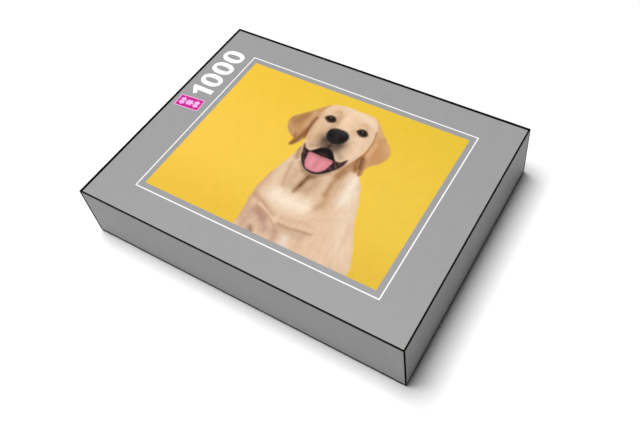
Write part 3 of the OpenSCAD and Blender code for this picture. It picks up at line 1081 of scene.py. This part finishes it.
def sachet_object(name, block, puzzle, rgb, place, pile, film, materials):
    """One sachet with the pieces of its block of the picture."""
    points, faces, slots, colours = [], [], [], []
    count = 0
    column0, row0 = block[0] * BLOCK, block[1] * BLOCK
    for k, lie in enumerate(pile):
        column, row = column0 + k % BLOCK, row0 + k // BLOCK
        mesh_points, mesh_faces, printed_faces = puzzle[column, row]
        lying = piece_matrix(lie)
        points.append(mesh_points @ lying[:3, :3].T + lying[:3, 3])
        faces += [tuple(i + count for i in f) for f in mesh_faces]
        slots += [0] * printed_faces + [1] * (len(mesh_faces) - printed_faces)
        u = (column + 0.5 + mesh_points[:, 0] * COLUMNS / PUZZLE_W) / COLUMNS
        v = 1 - (row + 0.5 + mesh_points[:, 1] * ROWS / PUZZLE_D) / ROWS
        colours.append(bilinear(rgb, v * (rgb.shape[0] - 1), u * (rgb.shape[1] - 1)))
        count += len(mesh_points)
    film_points, film_faces = film
    points.append(film_points)
    colours.append(np.full(film_points.shape, 255.0))
    faces += [tuple(i + count for i in f) for f in film_faces]
    slots += [2] * len(film_faces)
    placed_points = np.vstack(points) @ np.array(place.to_3x3()).T + np.array(place.translation)
    made = mesh_object(name, placed_points, faces, materials, slots)
    set_print(made.data, np.vstack(colours))
    made.data.polygons.foreach_set("use_smooth", np.array(slots) == 2)
    return made


# The folded picture sheet
SHEET_W, SHEET_D = 210, 148
SHEET_T = 0.13
SHEET_TURN = -7
SHEET_PICTURE_W, SHEET_PICTURE_D = 184, 138
SHEET_FOLD_H = 0.35
SHEET_OPEN = 1.25
SHEET_SAG = 0.22
SHEET_FOOT, SHEET_BOW = 0.05, 0.06
SHEET_EDGE = 0.15
LEAF_CELLS = 24


def sheet_section(x):
    """Heights of the lower and the upper leaf above the sheet's underside, at a distance from the fold."""
    share = x / SHEET_W
    lower = SHEET_FOOT + SHEET_BOW * np.sin(np.pi * share) ** 2
    return lower, SHEET_FOLD_H + SHEET_OPEN * share - SHEET_SAG * np.sin(np.pi * share)


def print_lines(size, picture, cells):
    """Grid lines over a leaf, with the picture's own cells in the middle and a hairline at its border."""
    margin = (size - picture) / 2
    inside = np.linspace(margin, size - margin, cells + 1)
    return np.concatenate([[0, margin - SHEET_EDGE], inside, [size - margin + SHEET_EDGE, size]])


def sheet_points(lines_x, lines_y, leaf):
    """A grid of points on the lower leaf, 0, or the upper one, 1."""
    x, y = np.meshgrid(lines_x, lines_y, indexing="ij")
    return np.stack([x - SHEET_W / 2, y - SHEET_D / 2, sheet_section(x)[leaf]], -1)


def picture_sheet(rgb, place, materials):
    """A sheet folded along its left edge: a lower leaf, a tight fold and the upper leaf with the picture."""
    half = rgb[::2, ::2]
    rows, columns = half.shape[:2]
    lines_x = print_lines(SHEET_W, SHEET_PICTURE_W, columns - 1)
    lines_y = print_lines(SHEET_D, SHEET_PICTURE_D, rows - 1)
    upper = sheet_points(lines_x, lines_y, 1)
    lower = sheet_points(np.linspace(SHEET_W, 0, LEAF_CELLS), lines_y, 0)
    low, high = sheet_section(0.0)
    radius = (high - low) / 2
    angles = np.radians([30, 60, 90, 120, 150])[:, None]
    turn = np.zeros((len(angles), len(lines_y), 3))
    turn[:, :, 0] = radius * (1 - np.sin(angles)) - SHEET_W / 2
    turn[:, :, 1] = lines_y - SHEET_D / 2
    turn[:, :, 2] = (low + high) / 2 - radius * np.cos(angles)
    grid = np.concatenate([lower, turn, upper])
    colours = np.empty(grid.shape)
    colours[:] = SHEET_PAPER
    first = len(lower) + len(turn) + 2
    colours[first:first + columns, 2:-2] = half[::-1].transpose(1, 0, 2)
    shape = grid.shape[:2]
    quads = grid_quads(np.arange(shape[0] * shape[1]).reshape(shape))
    points = grid.reshape(-1, 3) @ np.array(place.to_3x3()).T + np.array(place.translation)
    made = mesh_object("picture_sheet_paper", points, quads, materials)
    set_print(made.data, colours.reshape(-1, 3))
    thicken(made, SHEET_T)
    shade_smooth(made)
    return made


def thicken(made, thickness):
    """Gives a surface its thickness, with the second material on its inner side."""
    solid = made.modifiers.new("thickness", "SOLIDIFY")
    solid.thickness = thickness * MM
    solid.offset = -1
    solid.material_offset = 1
    solid.material_offset_rim = 1
    flat = made.data
    made.data = bpy.data.meshes.new_from_object(made.evaluated_get(bpy.context.evaluated_depsgraph_get()))
    made.modifiers.clear()
    bpy.data.meshes.remove(flat)


# ---------------------------------------------------------------- the object


def carry(piece, body, slot, *nodes):
    """The piece rides on a body and stands for its CAD nodes, which are hidden. The slot is not used."""
    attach(piece, body)
    if nodes:
        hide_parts(*nodes)


def paint_cad_node(name, material):
    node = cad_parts[name]
    node.data.materials.clear()
    node.data.materials.append(material)


def build_box():
    lid_paper = wrap_material("lid_paper", GREY_INK, BOX_W, BOX_D, LID_FOOT, BOX_H, True)
    lid_top = BOX_H - 2 * INK_T
    lid = paper_wrap("lid_paper", BOX_W, BOX_D, BOX_H - LID_FOOT, lambda down: lid_top - down, lid_paper)
    carry(lid, "lid", "printed_paper", "lid_wrap")
    base_paper = wrap_material("base_paper", BASE_PAPER, BASE_W, BASE_D, 0, BASE_H, False)
    base = paper_wrap("base_paper", BASE_W, BASE_D, BASE_H, lambda down: down, base_paper)
    carry(base, "base", "base_paper", "base_wrap")
    greyboard = board_material("greyboard", GREYBOARD)
    kraft = board_material("kraft_stay", KRAFT, 0.25)
    for part in ("lid", "base"):
        paint_cad_node(f"{part}_board", greyboard)
        for k in range(1, 5):
            paint_cad_node(f"{part}_corner_stay_{k}", kraft)


def build_print(rgb):
    panel = printed_panel("lid_picture", rgb, PICTURE_W, PICTURE_D, PICTURE_AT, BOX_H - INK_T, 1.5 * INK_T,
                          picture_material("lid_picture"))
    carry(panel, "lid", "printed_paper")
    inks = (("white_ink", WHITE_INK), ("pink_ink", PINK_INK), ("pale_pink_ink", PALE_PINK_INK))
    white, pink, pale = (ink_material(*ink) for ink in inks)
    ink = Ink(BOX_H - INK_T)
    frame_w, frame_d = PICTURE_W + 2 * PICTURE_MARGIN, PICTURE_D + 2 * PICTURE_MARGIN
    outer = rounded_rectangle(frame_w, frame_d, 0.3)
    inner = rounded_rectangle(frame_w - 2 * KEYLINE_W, frame_d - 2 * KEYLINE_W, 0.3)
    ink.band(placed(outer, PICTURE_AT), placed(inner, PICTURE_AT), 0)
    print_numerals(ink, 0)
    print_label(ink, 1, 2)
    printed = mesh_object("lid_print", ink.points, ink.faces, [white, pink, pale], ink.slots)
    carry(printed, "lid", "printed_paper")


def build_sachets(rgb):
    rng = np.random.default_rng(PUZZLE_SEED)
    puzzle = {key: piece_mesh(outline) for key, outline in cut_puzzle(rng).items()}
    piles = [pile_pieces(seed, k % 2) for k, seed in enumerate(PILE_SEEDS)]
    films = [film_mesh(*film_heights(height, rng)) for _, height in piles]
    face, card = picture_material("piece_print", (0.27, 0.41)), board_material("piece_card", PIECE_BACK, 0.3)
    materials = [face, card, film_material()]
    for i in range(COLUMNS * ROWS // PIECES):
        column, row = i // (ROWS // BLOCK), i % (ROWS // BLOCK)
        node = f"sachet_{'abcdefgh'[column]}{row + 1}"
        low, high = (Vector(corner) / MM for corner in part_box(node))
        pile = (column + row) % 2 + 2 * (i // 2 % 2)
        turn = np.radians(ASKEW_TURN * np.sin(np.radians(ASKEW_STRIDE * i))) + np.pi * (i // 4 % 2)
        place = Matrix.Translation((low + high) / 2) @ Matrix.Rotation(turn, 4, "Z")
        lying = piles[pile][0]
        made = sachet_object(f"{node}_bag", (column, row), puzzle, rgb, place, lying, films[pile], materials)
        carry(made, "sachets", "sachet", node)


def build_sheet(rgb):
    low, high = (Vector(corner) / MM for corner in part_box("picture_sheet"))
    centre = (low + high) / 2
    place = Matrix.Translation((centre.x, centre.y, low.z)) @ Matrix.Rotation(np.radians(SHEET_TURN), 4, "Z")
    front = picture_material("sheet_print", (0.43, 0.57))
    back = ink_material("sheet_back", SHEET_PAPER, (0.53, 0.67))
    made = picture_sheet(rgb, place, [front, back])
    carry(made, "sheet", "sheet_paper", "picture_sheet")


# ---------------------------------------------------------------- the studio


SOFTBOX_AT = (-0.9, -0.05, 4.5)
SOFTBOX_SIZE = 2.2
SOFTBOX_POWER = 238
FLOOR_REACH = 2500

# How the backdrop fades, as (axis, from, to, strength before, strength after)
BACKDROP_FADES = (("Z", 0, 0.3, 0.85, 0.08), ("X", 0, 0.5, 1, 0.4))


def build_softbox():
    lamp = bpy.data.lights.new("softbox", "AREA")
    lamp.shape = "SQUARE"
    lamp.size = SOFTBOX_SIZE
    lamp.energy = SOFTBOX_POWER
    holder = bpy.data.objects.new("softbox", lamp)
    holder.location = SOFTBOX_AT
    holder.rotation_euler = (-Vector(SOFTBOX_AT)).to_track_quat("-Z", "Y").to_euler()
    bpy.context.scene.collection.objects.link(holder)


def studio_world():
    """A backdrop that is bright at the horizon, dim above and dimmer to the right."""
    world = bpy.data.worlds.new("studio")
    world.use_nodes = True
    nodes, links = world.node_tree.nodes, world.node_tree.links
    direction = nodes.new("ShaderNodeSeparateXYZ")
    links.new(nodes.new("ShaderNodeTexCoord").outputs["Generated"], direction.inputs[0])
    strength = nodes.new("ShaderNodeMath")
    strength.operation = "MULTIPLY"
    for k, (axis, *limits) in enumerate(BACKDROP_FADES):
        fade = nodes.new("ShaderNodeMapRange")
        links.new(direction.outputs[axis], fade.inputs["Value"])
        for socket, value in zip(("From Min", "From Max", "To Min", "To Max"), limits):
            fade.inputs[socket].default_value = value
        links.new(fade.outputs[0], strength.inputs[k])
    backdrop = nodes["Background"]
    backdrop.inputs["Color"].default_value = (1, 1, 1, 1)
    links.new(strength.outputs[0], backdrop.inputs["Strength"])
    return world


def build_studio():
    m = Material("studio_floor")
    grain = m.noise(40, 3)
    tint = m.shade(rgba(FLOOR), m.span(grain, 0.3, 0.7, 0.995, 1.005))
    surface = m.finish(tint, m.span(grain, 0.3, 0.7, 0.7, 0.74))
    corners = [(x * FLOOR_REACH, y * FLOOR_REACH, 0) for x, y in ((-1, -1), (1, -1), (1, 1), (-1, 1))]
    mesh_object("studio_floor", corners, [(0, 1, 2, 3)], [surface])
    bpy.context.scene.world = studio_world()
    build_softbox()
    bpy.context.scene.view_settings.view_transform = "Standard"


CAMERA_AT = (0.2778, -0.3222, 0.5522)
CAMERA_AZIMUTH, CAMERA_ELEVATION, CAMERA_ROLL = 35.0, 49.6, 6.4
CAMERA_LENS = 41.6
CAMERA_SHIFT = (-0.055, -0.097)


def build_camera():
    """The camera looks along an azimuth that is 0 along +Y, down by its elevation, rolled clockwise."""
    lens = bpy.data.cameras.new("camera")
    lens.lens = CAMERA_LENS
    lens.shift_x, lens.shift_y = CAMERA_SHIFT
    holder = bpy.data.objects.new("camera", lens)
    azimuth, down, roll = np.radians([CAMERA_AZIMUTH, 90 - CAMERA_ELEVATION, CAMERA_ROLL])
    aim = Matrix.Rotation(azimuth, 4, "Z") @ Matrix.Rotation(down, 4, "X") @ Matrix.Rotation(-roll, 4, "Z")
    holder.matrix_world = Matrix.Translation(CAMERA_AT) @ aim
    bpy.context.scene.collection.objects.link(holder)
    bpy.context.scene.camera = holder


painting = paint_puppy()
build_box()
build_print(painting)
build_sachets(painting)
build_sheet(painting)
build_studio()
build_camera()
